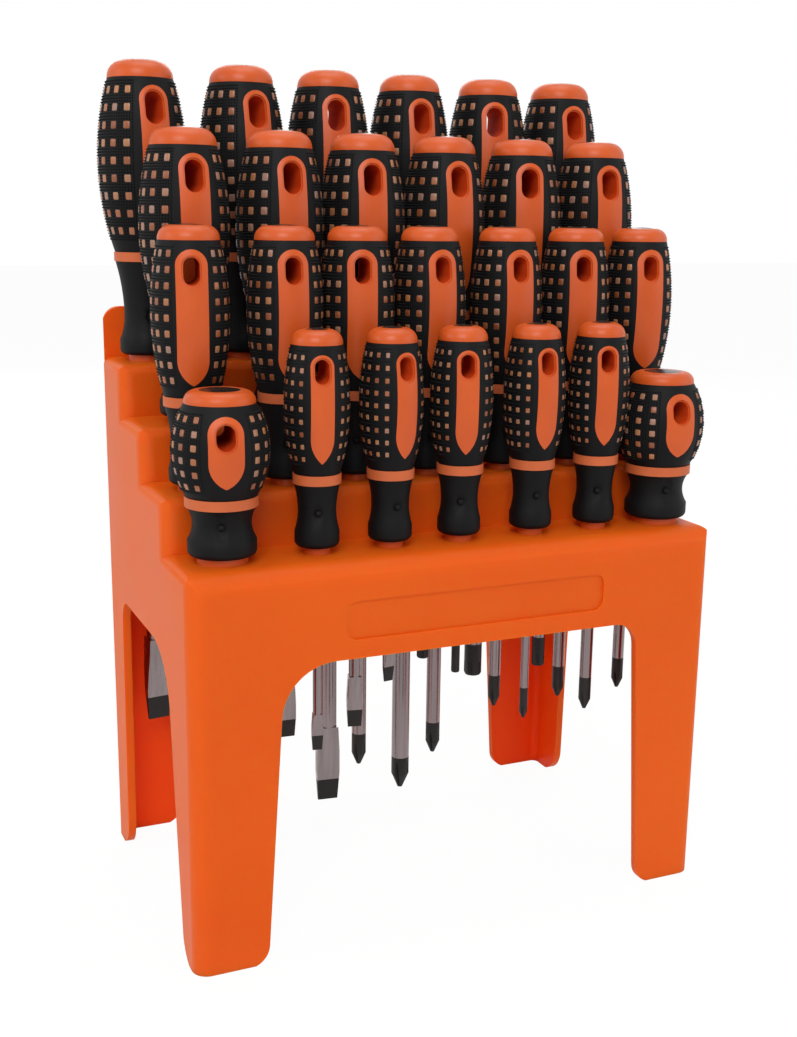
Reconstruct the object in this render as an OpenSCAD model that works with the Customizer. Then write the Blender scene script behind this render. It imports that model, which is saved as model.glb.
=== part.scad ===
// Screwdriver set in a stepped bench stand: four rows of screwdrivers, each hanging
// by its nose in a hole of its tread, on a thin moulded shell with four open legs.
// Millimetres, +Z up, front towards -Y. The origin is under the middle of the whole set.

/* [Stand shell] */
// Thickness of the moulded wall
wall = 3.2; // [2.4:0.1:4]
// Rise from one tread to the next
riser = 20; // [16:1:24]
// Rise of the back lip above the back tread
lip_rise = 20; // [10:1:30]
// Radius of the lip's two top corners
lip_r = 8; // [4:0.5:9.5]
// Radius of the long edge between the front tread and the front face
front_edge_r = 8; // [4:0.5:10]
// Radius of the long edge of each other tread
tread_edge_r = 4; // [2:0.5:6]
// Radius of the edge between a tread and the side walls
side_edge_r = 4; // [2:0.5:6]
// Radius of the upright corners
corner_r = 6; // [4:0.5:10]
// Height of the longest blade's tip above the bench
tip_clear = 6.4; // [4:0.2:12]
// How far the last handle of the back row may stand past the right side wall
side_overhang = 3.7; // [0:0.1:5]

/* [Rows on the stand] */
// Front face to the axes of the front row
front_margin = 18.3; // [17.5:0.1:22]
// Axes of the front row to the riser behind it
front_riser_set = 13.7; // [13.3:0.1:15]
// Axes of each middle row to the riser behind it
riser_set = 17.5; // [16:0.1:19]
// Axes of the back row to the back face
back_margin = 19; // [18:0.1:24]
// Plan clearance between the front row and the lower row
front_row_gap = 2.7; // [2.4:0.1:5]
// Plan overlap allowed between the other rows, whose barrels swell at different heights
row_nest = 0.2; // [0:0.05:0.4]
// Play of a blade in its tread hole, to each side
hole_clear = 0.5; // [0.3:0.05:0.8]

/* [Legs and openings] */
// Width of a leg seen from the front, at the top of the bay
leg_top = 33.7; // [26:0.1:40]
// Width of a leg seen from the front, at the bench
leg_foot = 26.9; // [20:0.1:33]
// Depth of the front leg seen from the side, at the top of the bay
front_leg_top = 31; // [24:0.1:38]
// Depth of the front leg seen from the side, at the bench
front_leg_foot = 16; // [12:0.1:22]
// Depth of the back leg seen from the side, at the top of the bay
back_leg_top = 25; // [20:0.1:32]
// Depth of the back leg seen from the side, at the bench
back_leg_foot = 21.5; // [17:0.1:28]
// Radius of the bay's upper left corner, seen from the front
bay_left_r = 20; // [8:1:26]
// Radius of the bay's upper right corner, seen from the front
bay_right_r = 9.5; // [4:0.5:20]
// Radius of the side bay's upper front corner
side_front_r = 24; // [10:1:28]
// Radius of the side bay's upper back corner
side_back_r = 9; // [4:0.5:14]
// Radius of each foot's inner corner, seen from the front
foot_r = 8; // [3:0.5:10]
// Radius of the front foot's inner corner, seen from the side
front_foot_r = 11; // [4:0.5:12]
// Radius of the back foot's inner corner, seen from the side
back_foot_r = 12; // [4:0.5:14]

/* [Label recess] */
// Length of the recess
label_w = 104.5; // [60:0.5:120]
// Height of the recess
label_h = 14.2; // [8:0.2:18]
// Depth of the recess
label_deep = 1; // [0.4:0.1:1.4]
// Radius of its corners
label_r = 4; // [1:0.5:6]
// Left side wall to the recess
label_left = 56.5; // [40:0.5:80]
// Front tread down to the recess
label_drop = 13.9; // [10:0.1:18]
// Recess down to the top of the bays
label_to_bay = 6.9; // [4:0.1:12]

/* [Big handle] */
// Height from nose to cap
big_h = 112.3; // [104:0.1:118]
// Widest diameter of the barrel
big_d = 33.4; // [30:0.1:35]
// Diameter where the cap begins
big_cap_d = 24.8; // [22:0.1:27]
// Height of the cap
big_cap_h = 6.5; // [5:0.1:8]
// Diameter of the ring
big_ring_d = 23.8; // [21:0.1:26]
// Height of the ring above the nose
big_ring_z = 38.4; // [34:0.1:42]
// Narrowest diameter of the neck
big_neck_d = 17.4; // [15.6:0.1:19]
// Height of that narrowest point above the nose
big_waist_z = 17.8; // [16:0.1:21]
// Diameter of the rim
big_rim_d = 21.4; // [20.4:0.1:23]
// Width of the inlay
big_inlay_w = 11.1; // [10:0.1:12.4]
// Width of the hanging hole
big_hang_w = 6.9; // [5.4:0.1:7.4]
// Height of the hanging hole
big_hang_h = 11.9; // [9:0.1:13]

/* [Large handle] */
// Height from nose to cap
large_h = 106.8; // [100:0.1:111]
// Widest diameter of the barrel
large_d = 33; // [30:0.1:34.5]
// Diameter where the cap begins
large_cap_d = 24.6; // [22:0.1:27]
// Height of the cap
large_cap_h = 6.2; // [5:0.1:8]
// Diameter of the ring
large_ring_d = 23.6; // [21:0.1:26]
// Height of the ring above the nose
large_ring_z = 36.6; // [33:0.1:40]
// Narrowest diameter of the neck
large_neck_d = 17.4; // [15.6:0.1:19]
// Height of that narrowest point above the nose
large_waist_z = 17.2; // [16:0.1:20]
// Diameter of the rim
large_rim_d = 21.4; // [20.4:0.1:23]
// Width of the inlay
large_inlay_w = 11.1; // [10:0.1:12.4]
// Width of the hanging hole
large_hang_w = 6.7; // [5.4:0.1:7.2]
// Height of the hanging hole
large_hang_h = 11.4; // [9:0.1:12.5]

/* [Medium handle] */
// Height from nose to cap
medium_h = 93; // [86:0.1:97]
// Widest diameter of the barrel
medium_d = 27.4; // [25:0.1:29]
// Diameter where the cap begins
medium_cap_d = 21.6; // [19:0.1:23]
// Height of the cap
medium_cap_h = 5; // [4:0.1:6.5]
// Diameter of the ring
medium_ring_d = 20.4; // [18:0.1:22]
// Height of the ring above the nose
medium_ring_z = 30.6; // [28:0.1:34]
// Narrowest diameter of the neck
medium_neck_d = 15.2; // [13.4:0.1:16.6]
// Height of that narrowest point above the nose
medium_waist_z = 15.4; // [14:0.1:18]
// Diameter of the rim
medium_rim_d = 17.8; // [17:0.1:19.4]
// Width of the inlay
medium_inlay_w = 11; // [9.6:0.1:12]
// Width of the hanging hole
medium_hang_w = 5.7; // [5:0.1:6.6]
// Height of the hanging hole
medium_hang_h = 9.4; // [7.4:0.1:10.4]

/* [Small handle] */
// Height from nose to cap
small_h = 78.8; // [73:0.1:83]
// Widest diameter of the barrel
small_d = 22.8; // [21:0.1:24.4]
// Diameter where the cap begins
small_cap_d = 18; // [16:0.1:19.4]
// Height of the cap
small_cap_h = 5; // [4:0.1:6]
// Diameter of the ring
small_ring_d = 17.2; // [15.4:0.1:18.6]
// Height of the ring above the nose
small_ring_z = 25.4; // [23:0.1:28]
// Narrowest diameter of the neck
small_neck_d = 13.6; // [12:0.1:14.6]
// Height of that narrowest point above the nose
small_waist_z = 15.4; // [14:0.1:16.5]
// Diameter of the rim
small_rim_d = 16; // [14.8:0.1:17.4]
// Width of the inlay
small_inlay_w = 8.2; // [7.4:0.1:9]
// Width of the hanging hole
small_hang_w = 5.1; // [4.5:0.1:5.6]
// Height of the hanging hole
small_hang_h = 8.3; // [6.6:0.1:9.2]

/* [Stubby handle] */
// Height from nose to cap
stubby_h = 59.4; // [55:0.1:63]
// Widest diameter of the barrel
stubby_d = 33.2; // [30:0.1:34]
// Diameter where the cap begins
stubby_cap_d = 24.4; // [22:0.1:26]
// Height of the cap
stubby_cap_h = 4.2; // [3.4:0.1:5]
// Diameter of the ring
stubby_ring_d = 25.4; // [23:0.1:26.4]
// Height of the ring above the nose
stubby_ring_z = 20; // [18:0.1:22]
// Narrowest diameter of the neck
stubby_neck_d = 20.4; // [18:0.1:21.4]
// Height of that narrowest point above the nose
stubby_waist_z = 14; // [13:0.1:14.6]
// Diameter of the rim
stubby_rim_d = 24; // [22.6:0.1:25]
// Width of the inlay
stubby_inlay_w = 12; // [10.6:0.1:13]
// Width of the hanging hole
stubby_hang_w = 6.5; // [5.4:0.1:7.4]
// Height of the hanging hole
stubby_hang_h = 8.6; // [7.6:0.1:9.6]

/* [Shared handle details] */
// Thickness of the rubber over the barrel
grip_t = 1.3; // [0.8:0.05:1.6]
// Height of the hard nose below the rubber
nose_h = 2.6; // [1.6:0.1:4]
// Step from the rubber rim in to the nose
nose_step = 3.1; // [2.4:0.1:3.4]
// Width of the hard ring
ring_w = 3.5; // [2.4:0.1:4.2]
// How far the ring stands out of the rubber beside it
ring_proud = 0.4; // [0.2:0.05:0.8]
// Thickness of the rubber at the narrowest point of the neck
neck_t = 2; // [1.4:0.1:2.4]
// Radius of the rubber rim's lower edge
rim_r = 2; // [1:0.1:2.6]
// Height of the rim's upright band
rim_band = 3.6; // [2.8:0.1:4.5]
// Diameter of the round thumb dimple in the neck, measured on its sphere
dimple_d = 15; // [11:0.5:18]
// Depth of the thumb dimple
dimple_deep = 0.7; // [0.4:0.05:0.9]
// Diameter of the raised bead in the dimple
bead_d = 2.6; // [1.8:0.1:3.2]
// Gap from the cap down to the inlay
inlay_top_gap = 3; // [2:0.1:4]
// Gap from the ring up to the inlay's point
inlay_low_gap = 4.4; // [3:0.1:6]
// Length of the inlay's pointed end
inlay_point = 9; // [6:0.5:11]
// Width of the bevel round the hanging hole
hang_bevel = 0.6; // [0.3:0.1:0.9]
// Diameter of the end disc, as left inside the cap's rounded edge
disc_inset = 5.2; // [4:0.1:6]
// Thickness of the end disc at its edge
disc_t = 1.2; // [0.8:0.1:2]
// Rise of the end disc's crown
disc_crown = 0.5; // [0.2:0.05:0.9]
// Play of the end disc in its seat, to each side
disc_fit = 0.05; // [0.02:0.01:0.1]

/* [Blades] */
// Length of the longest blades below the nose
longest_blade = 200; // [180:1:210]
// Length of the long blades
long_blade = 150; // [125:1:160]
// Length of the middle blades
middle_blade = 100; // [85:1:110]
// Length of the short blades
short_blade = 75; // [65:1:80]
// Length of the small blades
small_blade = 52; // [45:1:60]
// Length of the stubby blades
stub_blade = 38; // [32:1:42]
// Diameter of the heavy shafts
heavy_shaft = 8; // [7:0.1:8.5]
// Diameter of the medium shafts
medium_shaft = 6; // [5.4:0.1:6.6]
// Diameter of the light shafts
light_shaft = 4.8; // [4.4:0.1:5.2]
// Diameter of the fine shafts
fine_shaft = 3.2; // [2.8:0.1:3.8]
// Forged width of a slotted blade as a multiple of its shaft
flare_share = 1.36; // [1.1:0.02:1.4]
// Width of a slotted tip as a multiple of its shaft
slot_tip_share = 1.1; // [0.9:0.02:1.3]
// Thickness of a slotted tip as a share of its shaft
slot_edge_share = 0.16; // [0.12:0.01:0.22]
// Forged length of a slotted blade as a multiple of its shaft
forge_share = 4.4; // [3:0.1:5]
// Depth of a shaft inside its handle, as a share of the handle's height
embed_share = 0.62; // [0.4:0.01:0.64]
// Play of a shaft in its handle, to each side
shaft_fit = 0.05; // [0.02:0.01:0.1]

/* [Hidden] */
$fn = 64;
eps = 0.01;
// How far below the bench the feet are drawn on, so that their rounded corners cross it
foot_sink = 0.5;

// Kinds of handle, one record each
H = 0;
D = 1;
CAP_D = 2;
CAP_H = 3;
RING_D = 4;
RING_Z = 5;
NECK_D = 6;
WAIST_Z = 7;
RIM_D = 8;
INLAY_W = 9;
HANG_W = 10;
HANG_H = 11;
BIG = [big_h, big_d, big_cap_d, big_cap_h, big_ring_d, big_ring_z,
    big_neck_d, big_waist_z, big_rim_d, big_inlay_w, big_hang_w, big_hang_h];
LARGE = [large_h, large_d, large_cap_d, large_cap_h, large_ring_d, large_ring_z,
    large_neck_d, large_waist_z, large_rim_d, large_inlay_w, large_hang_w, large_hang_h];
MEDIUM = [medium_h, medium_d, medium_cap_d, medium_cap_h, medium_ring_d, medium_ring_z,
    medium_neck_d, medium_waist_z, medium_rim_d, medium_inlay_w, medium_hang_w, medium_hang_h];
SMALL = [small_h, small_d, small_cap_d, small_cap_h, small_ring_d, small_ring_z,
    small_neck_d, small_waist_z, small_rim_d, small_inlay_w, small_hang_w, small_hang_h];
STUBBY = [stubby_h, stubby_d, stubby_cap_d, stubby_cap_h, stubby_ring_d, stubby_ring_z,
    stubby_neck_d, stubby_waist_z, stubby_rim_d, stubby_inlay_w, stubby_hang_w, stubby_hang_h];

// Tips
SLOTTED = "slotted";
CROSS = "cross";
STAR = "star";

// The rows from front to back. A screwdriver is its handle, tip, shaft diameter, blade length,
// the gap to its left and how far it was turned when it was put in its hole.
KIND = 0;
TIP = 1;
SHAFT = 2;
LENGTH = 3;
GAP = 4;
TURN = 5;
FRONT_ROW = [
    [STUBBY, SLOTTED, medium_shaft, stub_blade, 0.9, -9],
    [SMALL, SLOTTED, fine_shaft, short_blade, 6.7, -9],
    [SMALL, SLOTTED, fine_shaft, small_blade, 5.3, 9],
    [SMALL, STAR, fine_shaft, small_blade, 5, -14],
    [SMALL, CROSS, fine_shaft, short_blade, 7.4, -1],
    [SMALL, CROSS, light_shaft, short_blade, 5.1, -14],
    [STUBBY, CROSS, medium_shaft, stub_blade, 0.6, -4]
];
LOWER_ROW = [
    [MEDIUM, SLOTTED, light_shaft, middle_blade, 1.7, -11],
    [MEDIUM, SLOTTED, light_shaft, middle_blade, 7.5, -4],
    [MEDIUM, SLOTTED, light_shaft, middle_blade, 0.4, -12],
    [MEDIUM, STAR, light_shaft, short_blade, 1.8, 0],
    [MEDIUM, CROSS, light_shaft, middle_blade, 5.3, -2],
    [MEDIUM, CROSS, light_shaft, middle_blade, 2.9, -14],
    [MEDIUM, CROSS, light_shaft, middle_blade, 2, -9]
];
UPPER_ROW = [
    [LARGE, SLOTTED, medium_shaft, middle_blade, 5.5, 1],
    [LARGE, CROSS, medium_shaft, middle_blade, 3.7, 1],
    [LARGE, CROSS, medium_shaft, long_blade, 0.5, -6],
    [LARGE, CROSS, medium_shaft, long_blade, 1.5, 1],
    [LARGE, SLOTTED, medium_shaft, middle_blade, 1.8, -14],
    [LARGE, STAR, medium_shaft, middle_blade, 0.8, -2]
];
BACK_ROW = [
    [BIG, SLOTTED, heavy_shaft, long_blade, -1.8, 7],
    [BIG, SLOTTED, heavy_shaft, long_blade, 6.2, 8],
    [BIG, SLOTTED, heavy_shaft, longest_blade, 2.7, -7],
    [BIG, CROSS, heavy_shaft, longest_blade, 2.2, -2],
    [BIG, STAR, heavy_shaft, long_blade, 2.8, -14],
    [BIG, STAR, medium_shaft, long_blade, 1.2, -1]
];
SETS = [FRONT_ROW, LOWER_ROW, UPPER_ROW, BACK_ROW];
ROW_NAMES = ["front", "lower", "upper", "back"];

// Axes of the rows, the risers between them and the treads under them
row_y0 = front_margin;
row_y1 = row_y0 + (small_d + medium_d) / 2 + front_row_gap;
row_y2 = row_y1 + (medium_d + large_d) / 2 - row_nest;
row_y3 = row_y2 + (large_d + big_d) / 2 - row_nest;
ROW_Y = [row_y0, row_y1, row_y2, row_y3];
RISER_Y = [0, row_y0 + front_riser_set, row_y1 + riser_set, row_y2 + riser_set];
stand_d = row_y3 + back_margin;
back_tread = longest_blade + tip_clear;
TREAD_Z = [for (k = [0:3]) back_tread - (3 - k) * riser];
front_tread = TREAD_Z[0];

// Axis of a screwdriver, measured from the left side wall
function axis_x(row, i) = i == 0
    ? row[0][GAP] + row[0][KIND][D] / 2
    : axis_x(row, i - 1) + (row[i - 1][KIND][D] + row[i][KIND][D]) / 2 + row[i][GAP];
function right_end(row) = axis_x(row, len(row) - 1) + row[len(row) - 1][KIND][D] / 2;
stand_w = right_end(BACK_ROW) - side_overhang;

// The middle of the whole set, which is wider than the stand because handles overhang it
set_left = min(0, min([for (row = SETS) row[0][GAP]]));
set_right = max(stand_w, max([for (row = SETS) right_end(row)]));
origin = [(set_left + set_right) / 2, stand_d / 2, 0];

label_top = front_tread - label_drop;
bay_top = label_top - label_h - label_to_bay;

// Heights within a handle
function cap_z(k) = k[H] - k[CAP_H];
function ring_top(k) = k[RING_Z] + ring_w;
function nose_d(k) = k[RIM_D] - 2 * nose_step;
function spine_r(k) = k[NECK_D] / 2 - neck_t;
function embed(s) = s[KIND][H] * embed_share;
function disc_r(k) = k[CAP_D] / 2 - disc_inset;

// The barrel is one arc through the ring, the widest diameter and the cap
function barrel_arc(k) = let (
        low = k[D] / 2 - k[RING_D] / 2 + ring_proud,
        high = (k[D] - k[CAP_D]) / 2,
        span = cap_z(k) - ring_top(k),
        ratio = high / low,
        rest = span * span - ratio * low * low + high * high,
        root = sqrt(max(0, 4 * span * span - 4 * (1 - ratio) * rest)),
        rise = abs(1 - ratio) < 0.001 ? rest / (2 * span) : (2 * span - root) / (2 * (1 - ratio))
    ) [(rise * rise + low * low) / (2 * low), ring_top(k) + rise];

// Half-width of a blade's widest point, which sizes its tread hole
function widest(s) = s[SHAFT] * (s[TIP] == SLOTTED ? flare_share : 1) / 2;

function unit(v) = v / norm(v);
// Tangent points and centre of an arc that rounds corner p between its neighbours a and b
function corner(p, a, b, r) = let (
        u = unit(a - p),
        v = unit(b - p),
        half = acos(u * v) / 2
    ) [p + u * r / tan(half), p + v * r / tan(half), p + unit(u + v) * r / sin(half)];
function neighbour(points, i, step) = points[(i + step + len(points)) % len(points)];
function arc_at(points, radii, i) =
    corner(points[i], neighbour(points, i, -1), neighbour(points, i, 1), radii[i]);

// Convex outline with a radius for each corner
module rounded(points, radii) {
    polygon([for (i = [0:len(points) - 1]) for (side = [0, 1])
        if (radii[i] > 0) arc_at(points, radii, i)[side]
        else if (side == 0) points[i]]);
    for (i = [0:len(points) - 1])
        if (radii[i] > 0)
            translate(arc_at(points, radii, i)[2]) circle(radii[i]);
}

// Points of the arc that rounds corner p of a foot, from the bench up the leg
function toe(p, along, up, r) = let (
        arc = corner(p, along, up, r),
        from = atan2(arc[0][1] - arc[2][1], arc[0][0] - arc[2][0]),
        turn = atan2(arc[1][1] - arc[2][1], arc[1][0] - arc[2][0]) - from,
        sweep = turn > 180 ? turn - 360 : turn < -180 ? turn + 360 : turn
    ) [for (i = [0:8]) arc[2] + r * [cos(from + sweep * i / 8), sin(from + sweep * i / 8)]];
function reversed(list) = [for (i = [len(list) - 1:-1:0]) list[i]];

// Outline of a bay between two feet, open at the bench
module bay(left_toe, right_toe, top_left, top_right, left_r, right_r) {
    low = concat([[left_toe[0][0], -1]], left_toe);
    high = concat(reversed(right_toe), [[right_toe[0][0], -1]]);
    points = concat(low, [top_left, top_right], high);
    rounded(points, concat([for (p = low) 0], [left_r, right_r], [for (p = high) 0]));
}

// Side view to solid, across the whole width
module across(x0, x1) {
    translate([x0, 0, 0]) rotate([90, 0, 90]) linear_extrude(x1 - x0) children();
}

// Front view to solid, through the whole depth
module through(y0, y1) {
    translate([0, y1, 0]) rotate([90, 0, 0]) linear_extrude(y1 - y0) children();
}

// One tier of the staircase, from its riser to the back, set in by t on every side
module tier(k, t) {
    y0 = RISER_Y[k] + t;
    y1 = stand_d - t;
    x0 = t;
    x1 = stand_w - t;
    top = TREAD_Z[k] - t;
    low = t > 0 ? -1 : 0;
    edge = max(0.5, (k == 0 ? front_edge_r : tread_edge_r) - t);
    side = max(0.5, side_edge_r - t);
    upright = max(0.5, corner_r - t);
    intersection() {
        across(x0, x1)
            rounded([[y0, low], [y1, low], [y1, top], [y0, top]], [0, 0, 0, edge]);
        through(y0, y1)
            rounded([[x0, low], [x1, low], [x1, top], [x0, top]], [0, 0, side, side]);
        translate([0, 0, low]) linear_extrude(top - low)
            rounded([[x0, y0], [x1, y0], [x1, y1], [x0, y1]], [for (i = [0:3]) upright]);
    }
}

module back_lip() {
    top = back_tread + lip_rise;
    y0 = stand_d - wall;
    intersection() {
        through(y0, stand_d)
            rounded([[0, 0], [stand_w, 0], [stand_w, top], [0, top]], [0, 0, lip_r, lip_r]);
        linear_extrude(top)
            rounded([[0, 0], [stand_w, 0], [stand_w, stand_d], [0, stand_d]],
                [for (i = [0:3]) corner_r]);
    }
}

// Front and back bays between the legs
module front_bay() {
    z = -foot_sink;
    left = toe([leg_foot, z], [0, z], [leg_top, bay_top], foot_r);
    right = toe([stand_w - leg_foot, z], [stand_w, z], [stand_w - leg_top, bay_top], foot_r);
    through(-1, stand_d + 1)
        bay(left, right, [leg_top, bay_top], [stand_w - leg_top, bay_top],
            bay_left_r, bay_right_r);
}

// Bays in the two side walls
module side_bay() {
    z = -foot_sink;
    back_y = stand_d - back_leg_foot;
    back_top = [stand_d - back_leg_top, bay_top];
    front_top = [front_leg_top, bay_top];
    front = toe([front_leg_foot, z], [0, z], front_top, front_foot_r);
    back = toe([back_y, z], [stand_d, z], back_top, back_foot_r);
    across(-1, stand_w + 1)
        bay(front, back, front_top, back_top, side_front_r, side_back_r);
}

module label_recess() {
    x1 = label_left + label_w;
    z0 = label_top - label_h;
    through(-1, label_deep)
        rounded([[label_left, z0], [x1, z0], [x1, label_top], [label_left, label_top]],
            [for (i = [0:3]) label_r]);
}

module tread_holes() {
    for (k = [0:3])
        for (i = [0:len(SETS[k]) - 1])
            translate([axis_x(SETS[k], i), ROW_Y[k], TREAD_Z[k] - 2 * wall])
                cylinder(r = widest(SETS[k][i]) + hole_clear, h = 3 * wall);
}

module stand() {
    color([0.93, 0.36, 0.08]) translate(-origin)
    difference() {
        union() {
            for (k = [0:3]) tier(k, 0);
            back_lip();
        }
        for (k = [0:3]) tier(k, wall);
        front_bay();
        side_bay();
        label_recess();
        tread_holes();
    }
}

// Half outline of the barrel between the ring and the cap, set in by t from its surface
module barrel_half(k, t) {
    arc = barrel_arc(k);
    intersection() {
        translate([0, ring_top(k)]) square([k[D] / 2, cap_z(k) - ring_top(k)]);
        translate([k[D] / 2 - arc[0], arc[1]]) circle(arc[0] - t, $fn = 180);
    }
}

// Half outline of the neck's rubber between the nose and the ring
module neck_half(k) {
    waist_r = k[NECK_D] / 2;
    top_r = k[RING_D] / 2 - ring_proud;
    foot_r = k[RIM_D] / 2;
    waist = k[WAIST_Z];
    rim_top = nose_h + rim_r + rim_band;
    high = k[RING_Z] - waist;
    low = waist - rim_top;
    high_r = (pow(top_r - waist_r, 2) + high * high) / (2 * (top_r - waist_r));
    low_r = (pow(foot_r - waist_r, 2) + low * low) / (2 * (foot_r - waist_r));
    difference() {
        translate([0, waist]) square([top_r, high]);
        translate([waist_r + high_r, waist]) circle(high_r, $fn = 180);
    }
    difference() {
        translate([0, rim_top]) square([foot_r, low]);
        translate([waist_r + low_r, waist]) circle(low_r, $fn = 180);
    }
    translate([0, nose_h + rim_r]) square([foot_r, rim_band]);
    translate([0, nose_h]) square([foot_r - rim_r, rim_r + eps]);
    translate([foot_r - rim_r, nose_h + rim_r]) circle(rim_r);
}

// Half outline of the cap, with its rounded edge
module cap_half(k) {
    edge = k[CAP_H] - 0.4;
    translate([0, cap_z(k) - eps]) square([k[CAP_D] / 2, k[CAP_H] - edge + eps]);
    translate([0, cap_z(k)]) square([k[CAP_D] / 2 - edge, k[CAP_H]]);
    translate([k[CAP_D] / 2 - edge, k[H] - edge]) intersection() {
        circle(edge);
        square(edge);
    }
}

// Front outline of the inlay: round above, pointed like a boat below, and g wider all round
module inlay_outline(k, g) {
    half = k[INLAY_W] / 2 + g;
    top = cap_z(k) - inlay_top_gap - k[INLAY_W] / 2;
    keel = ring_top(k) + inlay_low_gap + inlay_point;
    point = inlay_point + g;
    bow = (point * point + half * half) / (2 * half);
    translate([0, top]) circle(half);
    translate([-half, keel]) square([2 * half, top - keel]);
    intersection() {
        translate([half - bow, keel]) circle(bow, $fn = 180);
        translate([bow - half, keel]) circle(bow, $fn = 180);
        translate([-half, keel - point]) square([2 * half, point + eps]);
    }
}

// Front outline of the hanging hole, g wider all round
module hang_outline(k, g) {
    half = k[HANG_W] / 2;
    top = cap_z(k) - inlay_top_gap - k[INLAY_W] / 2;
    low = top - (k[HANG_H] - k[HANG_W]);
    translate([0, top]) circle(half + g);
    translate([-half - g, low]) square([2 * (half + g), top - low]);
    translate([0, low]) circle(half + g);
}

// A screwdriver's hard handle: cap, barrel, ring, spine and nose in one moulding
module handle_core(s) {
    k = s[KIND];
    top = cap_z(k);
    difference() {
        union() {
            rotate_extrude() {
                barrel_half(k, grip_t);
                cap_half(k);
                translate([0, k[RING_Z]]) square([k[RING_D] / 2, ring_w + eps]);
                translate([0, nose_h - eps]) square([spine_r(k), k[RING_Z] - nose_h + 2 * eps]);
                square([nose_d(k) / 2, nose_h]);
            }
            intersection() {
                rotate_extrude() barrel_half(k, 0);
                through(-k[D], k[D]) inlay_outline(k, 0);
            }
        }
        through(-k[D], k[D]) hang_outline(k, 0);
        difference() {
            through(-k[D], k[D]) hang_outline(k, hang_bevel);
            rotate_extrude() barrel_half(k, hang_bevel);
        }
        translate([0, 0, -1]) cylinder(d = s[SHAFT] + 2 * shaft_fit, h = embed(s) + 1);
        translate([0, 0, k[H] - disc_t]) cylinder(r = disc_r(k) + disc_fit, h = disc_t + 1);
    }
}

// A screwdriver's rubber: the sleeve above the ring and the waisted one below it
module rubber_grip(s) {
    k = s[KIND];
    difference() {
        rotate_extrude() difference() {
            barrel_half(k, 0);
            barrel_half(k, grip_t);
        }
        through(-k[D], k[D]) inlay_outline(k, 0);
    }
    difference() {
        rotate_extrude() difference() {
            neck_half(k);
            square([spine_r(k), k[RING_Z]]);
        }
        rotate([0, 0, -8]) translate([0, -k[NECK_D] / 2 - dimple_d / 2 + dimple_deep, k[WAIST_Z]])
            sphere(d = dimple_d);
    }
    rotate([0, 0, -8]) translate([0, -k[NECK_D] / 2 + dimple_deep, k[WAIST_Z]])
        sphere(d = bead_d);
}

// A slotted tip, forged wider than its shaft and tapered to its edge
module slotted_tip(s) {
    d = s[SHAFT];
    forge = d * forge_share;
    flare = d * flare_share / 2;
    tip = d * slot_tip_share / 2;
    edge = d * slot_edge_share / 2;
    belly = forge * 0.55;
    translate([0, 0, -s[LENGTH]]) intersection() {
        through(-d, d)
            polygon([[-tip, 0], [tip, 0], [flare, belly], [d / 2, forge], [-d / 2, forge],
                [-flare, belly]]);
        across(-d, d)
            polygon([[-edge, 0], [edge, 0], [d / 2, forge], [-d / 2, forge]]);
        cylinder(r = flare, h = forge);
    }
    translate([0, 0, forge - s[LENGTH]]) cylinder(d = d, h = s[LENGTH] - forge + embed(s) - 1);
}

// A cross tip: a point with four tapering grooves
module cross_tip(s) {
    d = s[SHAFT];
    point = d * 0.85;
    difference() {
        translate([0, 0, -s[LENGTH]]) {
            cylinder(d1 = d * 0.28, d2 = d, h = point);
            translate([0, 0, point]) cylinder(d = d, h = s[LENGTH] - point + embed(s) - 1);
        }
        for (a = [45:90:315])
            rotate([0, 0, a]) translate([d * 0.1, 0, -s[LENGTH]]) rotate([0, 13, 0])
                rotate([0, 0, -45]) translate([0, 0, -d]) cube([d, d, 4 * d]);
    }
}

// A star tip: six flutes along a straight end
module star_tip(s) {
    d = s[SHAFT];
    difference() {
        translate([0, 0, -s[LENGTH]]) {
            cylinder(d1 = d * 0.86, d2 = d, h = d * 0.12);
            translate([0, 0, d * 0.12]) cylinder(d = d, h = s[LENGTH] - d * 0.12 + embed(s) - 1);
        }
        for (a = [0:60:300])
            rotate([0, 0, a]) translate([d * 0.56, 0, -s[LENGTH] - 1])
                cylinder(d = d * 0.3, h = d * 0.8 + 1);
    }
}

module blade(s) {
    if (s[TIP] == SLOTTED) slotted_tip(s);
    else if (s[TIP] == CROSS) cross_tip(s);
    else star_tip(s);
}

module end_disc(k) {
    crown_r = (disc_r(k) * disc_r(k) + disc_crown * disc_crown) / (2 * disc_crown);
    translate([0, 0, k[H] - disc_t]) rotate_extrude() intersection() {
        square([disc_r(k), disc_t + disc_crown]);
        translate([0, disc_t + disc_crown - crown_r]) circle(crown_r, $fn = 256);
    }
}

// Puts a piece at the place of screwdriver i in row k
module at(k, i) {
    translate([axis_x(SETS[k], i), ROW_Y[k], TREAD_Z[k]] - origin)
        rotate([0, 0, SETS[k][i][TURN]]) children();
}

function handle_name(k, i) = str(ROW_NAMES[k], "_handle_", i + 1);
function blade_name(k, i) = str(ROW_NAMES[k], "_blade_", i + 1);
function grips_name(k) = str(ROW_NAMES[k], "_rubber_grips");

module handle(k, i) {
    color([0.96, 0.42, 0.12]) at(k, i) handle_core(SETS[k][i]);
}

module steel_blade(k, i) {
    color([0.78, 0.79, 0.8]) at(k, i) blade(SETS[k][i]);
}

module rubber_grips(k) {
    color([0.1, 0.11, 0.11])
    for (i = [0:len(SETS[k]) - 1]) at(k, i) rubber_grip(SETS[k][i]);
}

module end_discs() {
    color([0.12, 0.1, 0.09])
    for (k = [0:3])
        for (i = [0:len(SETS[k]) - 1]) at(k, i) end_disc(SETS[k][i][KIND]);
}

stand();
for (k = [0:3]) {
    for (i = [0:len(SETS[k]) - 1]) {
        handle(k, i);
        steel_blade(k, i);
    }
    rubber_grips(k);
}
end_discs();
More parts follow.
